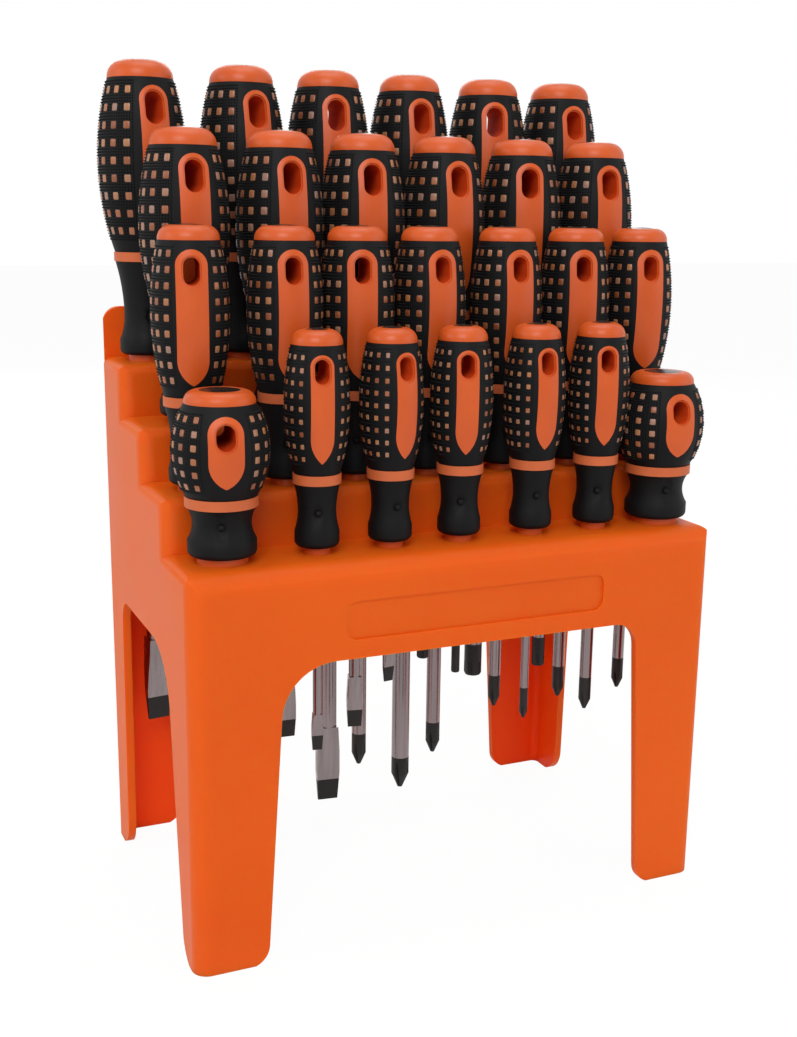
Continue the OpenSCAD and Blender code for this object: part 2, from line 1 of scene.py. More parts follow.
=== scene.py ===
"""Looks of the screwdriver set and its stepped stand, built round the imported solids.

The tables hold millimetres, and everything that Blender gets is in metres. The stand,
the hard handles, the rubber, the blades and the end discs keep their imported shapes.
The windows in the rubber and the beads between them are added here.
"""

import logging
import math
from dataclasses import dataclass
from enum import Enum
from typing import Any, Iterable, Optional

import bmesh
import bpy
from mathutils import Matrix, Vector


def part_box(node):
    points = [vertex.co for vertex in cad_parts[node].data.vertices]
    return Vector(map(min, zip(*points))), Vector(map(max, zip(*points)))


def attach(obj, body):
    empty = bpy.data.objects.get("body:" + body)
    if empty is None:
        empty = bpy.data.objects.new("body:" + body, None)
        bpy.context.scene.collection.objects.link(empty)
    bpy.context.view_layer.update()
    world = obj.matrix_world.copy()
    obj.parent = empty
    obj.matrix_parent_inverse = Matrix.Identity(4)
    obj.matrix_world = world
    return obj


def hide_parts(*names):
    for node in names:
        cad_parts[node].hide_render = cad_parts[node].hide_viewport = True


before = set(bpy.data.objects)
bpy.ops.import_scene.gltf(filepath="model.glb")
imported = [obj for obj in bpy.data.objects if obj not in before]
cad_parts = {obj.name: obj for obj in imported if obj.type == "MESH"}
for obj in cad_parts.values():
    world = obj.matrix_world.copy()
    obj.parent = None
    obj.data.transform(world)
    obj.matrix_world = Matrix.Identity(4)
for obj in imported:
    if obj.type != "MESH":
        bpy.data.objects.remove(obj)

LOG = logging.getLogger("screwdriver_set")
MM = 0.001
PHOTO_HEIGHT = 1037
BODY = "root"
WELD_REACH = 0.000002
SHARP_ANGLE = math.radians(32.0)
SEED_STEP = 100
Colour = tuple[float, float, float, float]


def linear(red: int, green: int, blue: int) -> Colour:
    """Turns a colour as written for a screen into Blender's linear one.

    Args:
        red: Red, 0 to 255.
        green: Green, 0 to 255.
        blue: Blue, 0 to 255.

    Returns:
        The linear colour with full opacity.
    """

    def channel(value: int) -> float:
        """Returns one linear channel."""
        part = value / 255
        return part / 12.92 if part <= 0.04045 else ((part + 0.055) / 1.055) ** 2.4

    return (channel(red), channel(green), channel(blue), 1.0)


class Graph:
    """Adds nodes to a node tree and links them."""

    def __init__(self, tree: bpy.types.NodeTree) -> None:
        """Starts on a tree.

        Args:
            tree: The tree that the nodes go into.
        """
        self.tree = tree

    def add(
        self,
        kind: str,
        sockets: Optional[dict[Any, Any]] = None,
        **settings: Any,
    ) -> bpy.types.Node:
        """Adds one node.

        Args:
            kind: Blender's name for the node type.
            sockets: Values or sockets to link, by the input's name or number.
            **settings: The node's own settings.

        Returns:
            The new node.
        """
        node = self.tree.nodes.new(kind)
        for name, value in settings.items():
            setattr(node, name, value)
        for key, value in (sockets or {}).items():
            if isinstance(value, bpy.types.NodeSocket):
                self.tree.links.new(value, node.inputs[key])
            else:
                node.inputs[key].default_value = value
        return node

    def math(self, operation: str, *values: Any) -> bpy.types.NodeSocket:
        """Adds a Math node.

        Args:
            operation: The node's operation.
            *values: Numbers or sockets for its inputs.

        Returns:
            The result's socket.
        """
        kind = "ShaderNodeMath"
        node = self.add(kind, dict(enumerate(values)), operation=operation)
        return node.outputs[0]

    def link(self, source: bpy.types.NodeSocket, target: bpy.types.NodeSocket) -> None:
        """Links two sockets."""
        self.tree.links.new(source, target)


def new_sockets(
    tree: bpy.types.NodeTree,
    inputs: Iterable[tuple[str, str]],
    outputs: Iterable[tuple[str, str]],
) -> None:
    """Gives a node tree its named sockets.

    Args:
        tree: The tree.
        inputs: Name and socket type of each input.
        outputs: Name and socket type of each output.
    """
    for side, sockets in (("INPUT", inputs), ("OUTPUT", outputs)):
        for name, kind in sockets:
            tree.interface.new_socket(name, in_out=side, socket_type=kind)


# Finishes


CLOUD_DETAIL = 2.0
CLOUD_ROUGHNESS = 0.55
CLOUD_LOW = 0.3
CLOUD_HIGH = 0.7
GRAIN_DETAIL = 1.5
GRAIN_ROUGHNESS = 0.5


def moulded_grain_group() -> bpy.types.NodeTree:
    """Builds the shader group for moulded surfaces: slow cloudiness and a fine grain.

    Returns:
        The group, with a Cloud mask and a Grain height.
    """
    tree = bpy.data.node_groups.new("moulded_grain", "ShaderNodeTree")
    new_sockets(
        tree,
        (
            ("Cloud Scale", "NodeSocketFloat"),
            ("Grain Scale", "NodeSocketFloat"),
            ("Stretch", "NodeSocketVector"),
        ),
        (("Cloud", "NodeSocketFloat"), ("Grain", "NodeSocketFloat")),
    )
    graph = Graph(tree)
    source = graph.add("NodeGroupInput")
    place = graph.add("ShaderNodeTexCoord")
    stretched = graph.add(
        "ShaderNodeVectorMath",
        {0: place.outputs["Object"], 1: source.outputs["Stretch"]},
        operation="MULTIPLY",
    )
    cloud = graph.add(
        "ShaderNodeTexNoise",
        {
            "Vector": stretched.outputs[0],
            "Scale": source.outputs["Cloud Scale"],
            "Detail": CLOUD_DETAIL,
            "Roughness": CLOUD_ROUGHNESS,
        },
    )
    grain = graph.add(
        "ShaderNodeTexNoise",
        {
            "Vector": stretched.outputs[0],
            "Scale": source.outputs["Grain Scale"],
            "Detail": GRAIN_DETAIL,
            "Roughness": GRAIN_ROUGHNESS,
        },
    )
    target = graph.add("NodeGroupOutput")
    graph.link(cloud.outputs[0], target.inputs["Cloud"])
    graph.link(grain.outputs[0], target.inputs["Grain"])
    return tree


GRAIN_GROUP = moulded_grain_group()


@dataclass(frozen=True)
class Finish:
    """A moulded, drawn or blackened surface.

    Attributes:
        name: The material's name.
        dark: Colour in the cloudiness's low parts.
        light: Colour in its high parts.
        rough_low: Lowest roughness.
        rough_high: Highest roughness.
        cloud_scale: Scale of the cloudiness.
        grain_scale: Scale of the grain.
        grain_depth: Depth of the grain in metres.
        metallic: Metallic.
        specular: Specular level.
        stretch: How each axis is scaled before the noise.
        passing: Share of the light that passes on inside the plastic.
        reach: How far it passes, in metres.
    """

    name: str
    dark: Colour
    light: Colour
    rough_low: float
    rough_high: float
    cloud_scale: float = 20.0
    grain_scale: float = 1500.0
    grain_depth: float = 0.00002
    metallic: float = 0.0
    specular: float = 0.5
    stretch: tuple[float, float, float] = (1.0, 1.0, 1.0)
    passing: float = 0.0
    reach: float = 0.005

    def colour(self, graph: Graph, cloud: bpy.types.NodeSocket) -> bpy.types.NodeSocket:
        """Mixes the finish's colour.

        Args:
            graph: The material's graph.
            cloud: The cloudiness mask.

        Returns:
            The colour's socket.
        """
        ramp = graph.add("ShaderNodeValToRGB", {"Fac": cloud})
        low, high = ramp.color_ramp.elements
        low.position, low.color = CLOUD_LOW, self.dark
        high.position, high.color = CLOUD_HIGH, self.light
        return ramp.outputs["Color"]

    def build(self) -> bpy.types.Material:
        """Builds the material.

        Returns:
            The material.
        """
        material = bpy.data.materials.new(self.name)
        material.use_nodes = True
        tree = material.node_tree
        tree.nodes.clear()
        graph = Graph(tree)
        group = graph.add("ShaderNodeGroup", node_tree=GRAIN_GROUP)
        group.inputs["Cloud Scale"].default_value = self.cloud_scale
        group.inputs["Grain Scale"].default_value = self.grain_scale
        group.inputs["Stretch"].default_value = self.stretch
        cloud, grain = group.outputs["Cloud"], group.outputs["Grain"]
        rough = graph.add(
            "ShaderNodeMapRange",
            {
                "Value": cloud,
                "From Min": CLOUD_LOW,
                "From Max": CLOUD_HIGH,
                "To Min": self.rough_low,
                "To Max": self.rough_high,
            },
        )
        bump = graph.add(
            "ShaderNodeBump",
            {"Height": grain, "Strength": 1.0, "Distance": self.grain_depth},
        )
        shader = graph.add(
            "ShaderNodeBsdfPrincipled",
            {
                "Base Color": self.colour(graph, cloud),
                "Roughness": rough.outputs[0],
                "Normal": bump.outputs[0],
                "Metallic": self.metallic,
                "Specular IOR Level": self.specular,
                "Subsurface Weight": self.passing,
                "Subsurface Scale": self.reach,
            },
        )
        output = graph.add("ShaderNodeOutputMaterial")
        graph.link(shader.outputs[0], output.inputs["Surface"])
        return material


TONE = "tone"
WINDOW_TONES: tuple[tuple[float, Colour], ...] = (
    (0.3, linear(156, 92, 56)),
    (0.55, linear(166, 114, 78)),
    (0.8, linear(148, 112, 98)),
)


@dataclass(frozen=True)
class WindowFinish(Finish):
    """Hard plastic seen through the rubber's windows, in the tones that the moulding gives it."""

    def colour(self, graph: Graph, cloud: bpy.types.NodeSocket) -> bpy.types.NodeSocket:
        """Picks each window's tone by its own attribute.

        Args:
            graph: The material's graph.
            cloud: The cloudiness mask, which the tones leave out.

        Returns:
            The colour's socket.
        """
        tone = graph.add("ShaderNodeAttribute", attribute_name=TONE)
        ramp = graph.add("ShaderNodeValToRGB", {"Fac": tone.outputs["Fac"]})
        elements = ramp.color_ramp.elements
        elements[0].position, elements[0].color = 0.0, self.dark
        elements[1].position, elements[1].color = 1.0, self.light
        for place, shade in WINDOW_TONES:
            elements.new(place).color = shade
        return ramp.outputs["Color"]


STAND_PLASTIC = Finish(
    name="stand_orange_plastic",
    dark=linear(226, 93, 12),
    light=linear(230, 98, 14),
    rough_low=0.42,
    rough_high=0.52,
    cloud_scale=14.0,
    grain_scale=2200.0,
    grain_depth=0.000012,
    specular=0.19,
    passing=0.65,
    reach=0.006,
).build()
# Painted glow: the inner walls' brighter, redder orange stands in for light that passes the thin
# walls and bounces inside.
PAINTED_GLOW_PLASTIC = Finish(
    name="stand_inner_painted_glow_plastic",
    dark=linear(250, 80, 10),
    light=linear(253, 84, 12),
    rough_low=0.42,
    rough_high=0.52,
    cloud_scale=14.0,
    grain_scale=2200.0,
    grain_depth=0.000012,
    specular=0.15,
    passing=0.65,
    reach=0.006,
).build()
HANDLE_PLASTIC = Finish(
    name="handle_orange_plastic",
    dark=linear(201, 82, 26),
    light=linear(208, 88, 30),
    rough_low=0.34,
    rough_high=0.42,
    cloud_scale=60.0,
    grain_scale=2600.0,
    grain_depth=0.000006,
    specular=0.35,
).build()
# Partly painted shade: the hanging hole's walls are a deeper, darker red than the handle, for the
# shade inside the hole; the matt, low-specular finish keeps bright reflections out of it.
HOLE_PAINTED_SHADE_PLASTIC = Finish(
    name="hole_matt_painted_shade_plastic",
    dark=linear(206, 70, 22),
    light=linear(212, 76, 26),
    rough_low=0.85,
    rough_high=0.95,
    cloud_scale=60.0,
    specular=0.05,
).build()
RING_PLASTIC = Finish(
    name="ring_dull_orange_plastic",
    dark=linear(196, 96, 52),
    light=linear(204, 103, 58),
    rough_low=0.45,
    rough_high=0.55,
    cloud_scale=90.0,
    grain_depth=0.000005,
    specular=0.3,
).build()
WINDOW_PLASTIC = WindowFinish(
    name="window_plastic",
    dark=linear(130, 70, 38),
    light=linear(174, 112, 64),
    rough_low=0.30,
    rough_high=0.40,
    cloud_scale=400.0,
    grain_scale=4000.0,
    grain_depth=0.000005,
    specular=0.45,
).build()
GRIP_RUBBER = Finish(
    name="grip_charcoal_rubber",
    dark=linear(12, 12, 13),
    light=linear(16, 16, 17),
    rough_low=0.50,
    rough_high=0.62,
    cloud_scale=70.0,
    grain_scale=3200.0,
    grain_depth=0.00002,
    specular=0.13,
).build()
# Partly painted reflection: the pinkish tint and the lengthwise dark and light streaks stand in
# for the orange stand mirrored in the blades; the streaks are also the steel's drawn grain.
BLADE_STEEL_PAINTED_REFLECTION = Finish(
    name="blade_satin_steel",
    dark=linear(127, 114, 114),
    light=linear(145, 132, 132),
    rough_low=0.20,
    rough_high=0.30,
    cloud_scale=500.0,
    grain_scale=1800.0,
    grain_depth=0.000002,
    metallic=1.0,
    stretch=(1.0, 1.0, 0.02),
).build()
TIP_BLACK = Finish(
    name="blade_black_tip",
    dark=linear(30, 27, 27),
    light=linear(38, 35, 34),
    rough_low=0.42,
    rough_high=0.55,
    cloud_scale=300.0,
    grain_scale=2600.0,
    specular=0.25,
).build()
DISC_PLASTIC = Finish(
    name="end_disc_dark_plastic",
    dark=linear(30, 22, 20),
    light=linear(38, 27, 24),
    rough_low=0.24,
    rough_high=0.32,
    cloud_scale=120.0,
    grain_depth=0.000003,
    specular=0.4,
).build()


# Handles


SLOTTED_BLACK = (3.0, 0.85)
POINTED_BLACK = (11.0, 0.5)
NEARLY_EVEN = 0.001


class Tip(Enum):
    """Form of a blade's end."""

    SLOTTED = "slotted"
    CROSS = "cross"
    STAR = "star"

    def blackened(self, shaft: float) -> float:
        """Works out how much of a blade is blackened.

        Args:
            shaft: The shaft's diameter.

        Returns:
            The blackened length.
        """
        length, share = SLOTTED_BLACK if self is Tip.SLOTTED else POINTED_BLACK
        return length + share * shaft


@dataclass(frozen=True)
class HandleKind:
    """One kind of handle, with the sizes of the part's source in millimetres.

    Attributes:
        widest: Widest diameter of the barrel.
        cap_width: Diameter where the cap begins.
        cap_z: Height of that edge above the nose.
        ring_width: Diameter of the ring.
        ring_z: Height of the ring above the nose.
        rows: Rows of windows.
        low_z: Middle of the lowest windows.
        high_z: Middle of the highest windows.
        window_width: Width of a window.
        window_height: Height of a window.
        beads_up: Steps of the beads in a pitch of the rows.
        ring_height: Height of the ring.
        ring_proud: How far the ring stands out of the barrel.
    """

    widest: float
    cap_width: float
    cap_z: float
    ring_width: float
    ring_z: float
    rows: int
    low_z: float
    high_z: float
    window_width: float
    window_height: float
    beads_up: int
    ring_height: float = 3.5
    ring_proud: float = 0.4

    @property
    def pitch(self) -> float:
        """Distance between two rows of windows."""
        return (self.high_z - self.low_z) / (self.rows - 1)

    @property
    def ring_top(self) -> float:
        """Height of the ring's upper edge above the nose."""
        return self.ring_z + self.ring_height

    def barrel_arc(self) -> tuple[float, float]:
        """Works out the arc of the barrel's outline, as the part's source does.

        Returns:
            The arc's radius and the height of its middle above the nose.
        """
        low = self.widest / 2 - self.ring_width / 2 + self.ring_proud
        high = (self.widest - self.cap_width) / 2
        span = self.cap_z - self.ring_top
        ratio = high / low
        rest = span * span - ratio * low * low + high * high
        root = math.sqrt(max(0.0, 4 * span * span - 4 * (1 - ratio) * rest))
        if abs(1 - ratio) < NEARLY_EVEN:
            rise = rest / (2 * span)
        else:
            rise = (2 * span - root) / (2 * (1 - ratio))
        return (rise * rise + low * low) / (2 * low), self.ring_top + rise


BIG = HandleKind(
    widest=33.4,
    cap_width=24.8,
    cap_z=105.8,
    ring_width=23.8,
    ring_z=38.4,
    rows=9,
    low_z=49.9,
    high_z=101.1,
    window_width=2.5,
    window_height=2.7,
    beads_up=6,
)
LARGE = HandleKind(
    widest=33.0,
    cap_width=24.6,
    cap_z=100.6,
    ring_width=23.6,
    ring_z=36.6,
    rows=9,
    low_z=47.9,
    high_z=96.0,
    window_width=2.5,
    window_height=2.7,
    beads_up=6,
)
MEDIUM = HandleKind(
    widest=27.4,
    cap_width=21.6,
    cap_z=88.0,
    ring_width=20.4,
    ring_z=30.6,
    rows=9,
    low_z=40.3,
    high_z=83.6,
    window_width=2.1,
    window_height=2.35,
    beads_up=5,
)
SMALL = HandleKind(
    widest=22.8,
    cap_width=18.0,
    cap_z=73.8,
    ring_width=17.2,
    ring_z=25.4,
    rows=9,
    low_z=35.0,
    high_z=69.9,
    window_width=1.5,
    window_height=1.7,
    beads_up=4,
)
STUBBY = HandleKind(
    widest=33.2,
    cap_width=24.4,
    cap_z=55.2,
    ring_width=25.4,
    ring_z=20.0,
    rows=6,
    low_z=28.1,
    high_z=50.9,
    window_width=2.2,
    window_height=2.2,
    beads_up=5,
)


@dataclass(frozen=True)
class Screwdriver:
    """One screwdriver of a row.

    Attributes:
        kind: The kind of its handle.
        tip: Form of its blade's end.
        shaft: Diameter of its blade's shaft.
        turn: Its turn in its hole, in degrees.
    """

    kind: HandleKind
    tip: Tip
    shaft: float
    turn: float


ROWS: dict[str, tuple[Screwdriver, ...]] = {
    "front": (
        Screwdriver(STUBBY, Tip.SLOTTED, 6.0, -9),
        Screwdriver(SMALL, Tip.SLOTTED, 3.2, -9),
        Screwdriver(SMALL, Tip.SLOTTED, 3.2, 9),
        Screwdriver(SMALL, Tip.STAR, 3.2, -14),
        Screwdriver(SMALL, Tip.CROSS, 3.2, -1),
        Screwdriver(SMALL, Tip.CROSS, 4.8, -14),
        Screwdriver(STUBBY, Tip.CROSS, 6.0, -4),
    ),
    "lower": (
        Screwdriver(MEDIUM, Tip.SLOTTED, 4.8, -11),
        Screwdriver(MEDIUM, Tip.SLOTTED, 4.8, -4),
        Screwdriver(MEDIUM, Tip.SLOTTED, 4.8, -12),
        Screwdriver(MEDIUM, Tip.STAR, 4.8, 0),
        Screwdriver(MEDIUM, Tip.CROSS, 4.8, -2),
        Screwdriver(MEDIUM, Tip.CROSS, 4.8, -14),
        Screwdriver(MEDIUM, Tip.CROSS, 4.8, -9),
    ),
    "upper": (
        Screwdriver(LARGE, Tip.SLOTTED, 6.0, 1),
        Screwdriver(LARGE, Tip.CROSS, 6.0, 1),
        Screwdriver(LARGE, Tip.CROSS, 6.0, -6),
        Screwdriver(LARGE, Tip.CROSS, 6.0, 1),
        Screwdriver(LARGE, Tip.SLOTTED, 6.0, -14),
        Screwdriver(LARGE, Tip.STAR, 6.0, -2),
    ),
    "back": (
        Screwdriver(BIG, Tip.SLOTTED, 8.0, 7),
        Screwdriver(BIG, Tip.SLOTTED, 8.0, 8),
        Screwdriver(BIG, Tip.SLOTTED, 8.0, -7),
        Screwdriver(BIG, Tip.CROSS, 8.0, -2),
        Screwdriver(BIG, Tip.STAR, 8.0, -14),
        Screwdriver(BIG, Tip.STAR, 6.0, -1),
    ),
}


# Geometry Nodes for the windows and beads


def barrel_point_group() -> bpy.types.NodeTree:
    """Builds the group that puts an angle and a height onto a barrel.

    Returns:
        The group, with the point's Position, Rotation and Share of the widest radius.
    """
    tree = bpy.data.node_groups.new("barrel_point", "GeometryNodeTree")
    new_sockets(
        tree,
        (
            ("Angle", "NodeSocketFloat"),
            ("Height", "NodeSocketFloat"),
            ("Barrel Radius", "NodeSocketFloat"),
            ("Arc Radius", "NodeSocketFloat"),
            ("Arc Height", "NodeSocketFloat"),
        ),
        (
            ("Position", "NodeSocketVector"),
            ("Rotation", "NodeSocketRotation"),
            ("Share", "NodeSocketFloat"),
        ),
    )
    graph = Graph(tree)
    source = graph.add("NodeGroupInput").outputs
    slope = graph.math(
        "DIVIDE",
        graph.math("SUBTRACT", source["Height"], source["Arc Height"]),
        source["Arc Radius"],
    )
    lean = graph.math(
        "SQRT", graph.math("SUBTRACT", 1.0, graph.math("MULTIPLY", slope, slope))
    )
    radius = graph.math(
        "SUBTRACT",
        source["Barrel Radius"],
        graph.math(
            "MULTIPLY", source["Arc Radius"], graph.math("SUBTRACT", 1.0, lean)
        ),
    )
    sine = graph.math("SINE", source["Angle"])
    cosine = graph.math("COSINE", source["Angle"])
    back = graph.math("MULTIPLY", cosine, -1.0)
    position = graph.add(
        "ShaderNodeCombineXYZ",
        {
            0: graph.math("MULTIPLY", radius, sine),
            1: graph.math("MULTIPLY", radius, back),
            2: source["Height"],
        },
    )
    outwards = graph.add(
        "ShaderNodeCombineXYZ",
        {
            0: graph.math("MULTIPLY", lean, sine),
            1: graph.math("MULTIPLY", lean, back),
            2: slope,
        },
    )
    sideways = graph.add("ShaderNodeCombineXYZ", {0: cosine, 1: sine, 2: 0.0})
    rotation = graph.add(
        "FunctionNodeAxesToRotation",
        {0: outwards.outputs[0], 1: sideways.outputs[0]},
        primary_axis="Z",
        secondary_axis="X",
    )
    target = graph.add("NodeGroupOutput").inputs
    graph.link(position.outputs[0], target["Position"])
    graph.link(rotation.outputs[0], target["Rotation"])
    graph.link(
        graph.math("DIVIDE", radius, source["Barrel Radius"]), target["Share"]
    )
    return tree


PATTERN_INPUTS: tuple[tuple[str, str], ...] = (
    ("Geometry", "NodeSocketGeometry"),
    ("Columns", "NodeSocketInt"),
    ("Rows", "NodeSocketInt"),
    ("First Angle", "NodeSocketFloat"),
    ("Column Step", "NodeSocketFloat"),
    ("Lowest", "NodeSocketFloat"),
    ("Pitch", "NodeSocketFloat"),
    ("Barrel Radius", "NodeSocketFloat"),
    ("Arc Radius", "NodeSocketFloat"),
    ("Arc Height", "NodeSocketFloat"),
    ("Window Width", "NodeSocketFloat"),
    ("Window Height", "NodeSocketFloat"),
    ("Turn", "NodeSocketFloat"),
    ("Place", "NodeSocketVector"),
    ("Beads Across", "NodeSocketInt"),
    ("Beads Up", "NodeSocketInt"),
    ("Bead Radius", "NodeSocketFloat"),
    ("Seed", "NodeSocketInt"),
)


class PatternTree:
    """A Geometry Nodes tree that adds a pattern to the barrel of a handle."""

    def __init__(self, name: str, barrel: bpy.types.NodeTree) -> None:
        """Starts the tree.

        Args:
            name: The tree's name.
            barrel: The group that puts points on a barrel.
        """
        self.tree = bpy.data.node_groups.new(name, "GeometryNodeTree")
        new_sockets(self.tree, PATTERN_INPUTS, (("Geometry", "NodeSocketGeometry"),))
        self.graph = Graph(self.tree)
        self.barrel = barrel
        self.source = self.graph.add("NodeGroupInput").outputs

    def points(
        self,
        columns: bpy.types.NodeSocket,
        rows: bpy.types.NodeSocket,
    ) -> tuple[bpy.types.NodeSocket, bpy.types.NodeSocket, bpy.types.NodeSocket]:
        """Makes a block of points that are counted by column and row.

        Args:
            columns: How many columns.
            rows: How many rows.

        Returns:
            The points, and each point's column and row.
        """
        graph = self.graph
        points = graph.add("GeometryNodePoints", {0: graph.math("MULTIPLY", columns, rows)})
        index = graph.add("GeometryNodeInputIndex").outputs[0]
        column = graph.math("MODULO", index, columns)
        row = graph.math("FLOOR", graph.math("DIVIDE", index, columns))
        return points.outputs[0], column, row

    def on_barrel(
        self, angle: bpy.types.NodeSocket, height: bpy.types.NodeSocket
    ) -> bpy.types.Node:
        """Adds the barrel group for an angle and a height.

        Args:
            angle: The angle round the barrel.
            height: The height above the nose.

        Returns:
            The group's node.
        """
        node = self.graph.add("GeometryNodeGroup", node_tree=self.barrel)
        self.graph.link(angle, node.inputs["Angle"])
        self.graph.link(height, node.inputs["Height"])
        for name in ("Barrel Radius", "Arc Radius", "Arc Height"):
            self.graph.link(self.source[name], node.inputs[name])
        return node

    def finish(
        self, instances: bpy.types.NodeSocket, material: bpy.types.Material
    ) -> bpy.types.NodeTree:
        """Doubles the pattern to the handle's other side, places it and joins it on.

        Args:
            instances: The pattern on one side.
            material: Its material.

        Returns:
            The finished tree.
        """
        graph, source = self.graph, self.source
        half_turn = graph.add("ShaderNodeCombineXYZ", {2: math.pi})
        other = graph.add("GeometryNodeTransform", {"Geometry": instances})
        graph.link(half_turn.outputs[0], other.inputs["Rotation"])
        both = graph.add("GeometryNodeJoinGeometry")
        graph.link(instances, both.inputs[0])
        graph.link(other.outputs[0], both.inputs[0])
        turn = graph.add("ShaderNodeCombineXYZ", {2: source["Turn"]})
        placed = graph.add(
            "GeometryNodeTransform",
            {"Geometry": both.outputs[0], "Translation": source["Place"]},
        )
        graph.link(turn.outputs[0], placed.inputs["Rotation"])
        real = graph.add("GeometryNodeRealizeInstances", {0: placed.outputs[0]})
        dressed = graph.add("GeometryNodeSetMaterial", {"Geometry": real.outputs[0]})
        dressed.inputs["Material"].default_value = material
        whole = graph.add("GeometryNodeJoinGeometry")
        graph.link(dressed.outputs[0], whole.inputs[0])
        graph.link(source["Geometry"], whole.inputs[0])
        target = graph.add("NodeGroupOutput")
        graph.link(whole.outputs[0], target.inputs[0])
        return self.tree


COLUMNS = 6
FIRST_COLUMN = math.radians(40)
COLUMN_STEP = math.radians(20)
WINDOW_PROUD = 0.12 * MM
WINDOW_SUNK = 0.4 * MM
WINDOW_CORNER_SHARE = 0.16
WINDOW_CORNER_STEPS = 2
WINDOW_TOP_SHARE = 0.84
WINDOW_WELD = 0.00001
BEADS_ACROSS = 5
BEAD_SHARE = 0.024
BEAD_HEIGHT_SHARE = 1.2
BEAD_SIDES = 5


def window_tree(barrel: bpy.types.NodeTree) -> bpy.types.NodeTree:
    """Builds the tree that fills the rubber's windows with hard plastic.

    Args:
        barrel: The group that puts points on a barrel.

    Returns:
        The tree.
    """
    pattern = PatternTree("grip_windows", barrel)
    graph, source = pattern.graph, pattern.source
    points, column, row = pattern.points(source["Columns"], source["Rows"])
    angle = graph.math(
        "MULTIPLY_ADD", column, source["Column Step"], source["First Angle"]
    )
    height = graph.math("MULTIPLY_ADD", row, source["Pitch"], source["Lowest"])
    barrel_node = pattern.on_barrel(angle, height)
    placed = graph.add(
        "GeometryNodeSetPosition",
        {"Geometry": points, "Position": barrel_node.outputs["Position"]},
    )
    outline = graph.add(
        "GeometryNodeCurvePrimitiveQuadrilateral",
        {"Width": source["Window Width"], "Height": source["Window Height"]},
    )
    rounded = graph.add(
        "GeometryNodeFilletCurve",
        {
            "Curve": outline.outputs[0],
            "Radius": graph.math("MULTIPLY", source["Window Width"], WINDOW_CORNER_SHARE),
            "Count": WINDOW_CORNER_STEPS,
        },
        mode="POLY",
    )
    plate = graph.add(
        "GeometryNodeFillCurve", {"Curve": rounded.outputs[0]}, mode="NGONS"
    )
    wall = graph.add(
        "GeometryNodeExtrudeMesh",
        {"Mesh": plate.outputs[0], "Offset Scale": WINDOW_SUNK, "Individual": False},
    )
    edge = graph.add(
        "GeometryNodeExtrudeMesh",
        {
            "Mesh": wall.outputs[0],
            "Selection": wall.outputs["Top"],
            "Offset Scale": WINDOW_PROUD,
            "Individual": False,
        },
    )
    crown = graph.add(
        "GeometryNodeScaleElements",
        {
            "Geometry": edge.outputs[0],
            "Selection": edge.outputs["Top"],
            "Scale": WINDOW_TOP_SHARE,
        },
        domain="FACE",
    )
    base = graph.add("GeometryNodeFlipFaces", {"Mesh": plate.outputs[0]})
    closed = graph.add("GeometryNodeJoinGeometry")
    graph.link(crown.outputs[0], closed.inputs[0])
    graph.link(base.outputs[0], closed.inputs[0])
    welded = graph.add("GeometryNodeMergeByDistance", {"Geometry": closed.outputs[0]})
    welded.inputs["Distance"].default_value = WINDOW_WELD
    sunk = graph.add("GeometryNodeTransform", {"Geometry": welded.outputs[0]})
    sunk.inputs["Translation"].default_value = (0.0, 0.0, -WINDOW_SUNK)
    scale = graph.add(
        "ShaderNodeCombineXYZ", {0: barrel_node.outputs["Share"], 1: 1.0, 2: 1.0}
    )
    windows = graph.add(
        "GeometryNodeInstanceOnPoints",
        {
            "Points": placed.outputs[0],
            "Instance": sunk.outputs[0],
            "Rotation": barrel_node.outputs["Rotation"],
            "Scale": scale.outputs[0],
        },
    )
    tone = graph.add("FunctionNodeRandomValue", {"Seed": source["Seed"]})
    stored = graph.add(
        "GeometryNodeStoreNamedAttribute",
        {"Geometry": windows.outputs[0], "Name": TONE},
        domain="INSTANCE",
        data_type="FLOAT",
    )
    drawn = next(socket for socket in tone.outputs if socket.enabled)
    kept = next(socket for socket in stored.inputs if socket.name == "Value" and socket.enabled)
    graph.link(drawn, kept)
    return pattern.finish(stored.outputs[0], WINDOW_PLASTIC)


